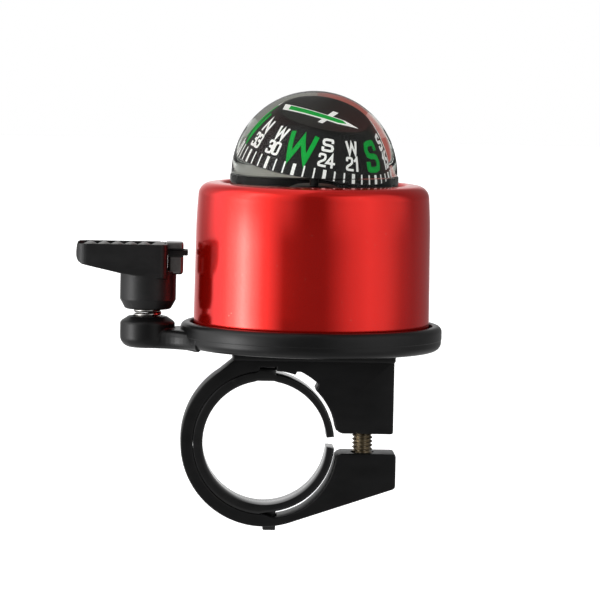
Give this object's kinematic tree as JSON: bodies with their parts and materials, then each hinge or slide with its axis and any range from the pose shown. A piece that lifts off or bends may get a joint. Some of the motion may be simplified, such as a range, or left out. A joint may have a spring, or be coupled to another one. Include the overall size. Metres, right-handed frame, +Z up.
{
  "type": "bicycle bell",
  "caption": "Handlebar bell: metal cup with a liquid compass dome in its crown, a thumb striker on a coil-spring neck and a split band clamp closed by one vertical screw.",
  "frame": {"origin": "middle of the flat crown pad at the top of the bar liner's bore, which rests on top of the handlebar", "axes": "+Z up along the bell's axis, Y along the handlebar, +X towards the clamp screw"},
  "size_m": [0.0656, 0.0468, 0.0789],
  "materials": {
    "anodised_red": "clear red anodised, glossy",
    "base_plastic": "satin black moulding",
    "black_plastic": "satin black moulding",
    "liner_plastic": "smooth flexible black moulding",
    "dark_steel": "dark passivated",
    "zinc_steel": "zinc plated",
    "spring_steel": "bright drawn wire",
    "soft_rubber": "matt",
    "clear_acrylic": "clear moulded acrylic",
    "card_black": "matt black with white and green printing",
    "magnet_grey": "sintered",
    "jewel_red": "polished synthetic jewel",
    "capsule_black": "glossy black moulding",
    "foam_pad": "adhesive foam"
  },
  "bodies": {
    "root": {"clamp_bracket": "black_plastic", "bar_liner": "liner_plastic", "clamp_nut": "zinc_steel", "base_plate": "base_plastic", "striker_spring": "spring_steel", "bell_cup": "anodised_red", "cup_washer_upper": "soft_rubber", "cup_washer_lower": "soft_rubber", "centre_screw": "zinc_steel", "capsule_pad": "foam_pad", "capsule_base": "capsule_black", "fill_plug": "soft_rubber", "capsule_seal": "soft_rubber", "compass_dome": "clear_acrylic", "pivot_pin": "zinc_steel"},
    "striker": {"striker_lever": "black_plastic", "striker_hammer": "zinc_steel", "hammer_pin": "dark_steel"},
    "card_pivot": {"card_jewel": "jewel_red"},
    "card": {"compass_card": "card_black", "card_magnet": "magnet_grey"},
    "clamp_washer": {"clamp_washer": "zinc_steel"},
    "clamp_screw": {"clamp_screw": "dark_steel"}
  },
  "joints": [
    {"name": "striker_flick", "type": "hinge", "parent": "root", "child": "striker", "pos_m": [-0.0213, 0, 0.01165], "axis": [0, 1, 0], "range_deg": [-18, 6.2], "stiffness_Nm_per_rad": 0.03, "deforming": ["striker_spring"]},
    {"name": "card_tilt", "type": "hinge", "parent": "root", "child": "card_pivot", "pos_m": [0.008, 0, 0.0375], "axis": [0.3502, 0.9367, 0], "range_deg": [-28, 8]},
    {"name": "card_spin", "type": "hinge", "parent": "card_pivot", "child": "card", "pos_m": [0.008, 0, 0.0375], "axis": [0.1707, -0.0638, 0.9833], "continuous": true},
    {"name": "clamp_screw_travel", "type": "slide", "parent": "root", "child": "clamp_washer", "axis": [0, 0, -1], "range_m": [0, 0.006]},
    {"name": "clamp_screw_turn", "type": "hinge", "parent": "clamp_washer", "child": "clamp_screw", "pos_m": [0.0176, 0, -0.017], "axis": [0, 0, -1], "range_deg": [0, 3086]}
  ],
  "couplings": [
    {"joint": "clamp_screw_turn", "follows": "clamp_screw_travel", "rad_per_m": 8976}
  ]
}
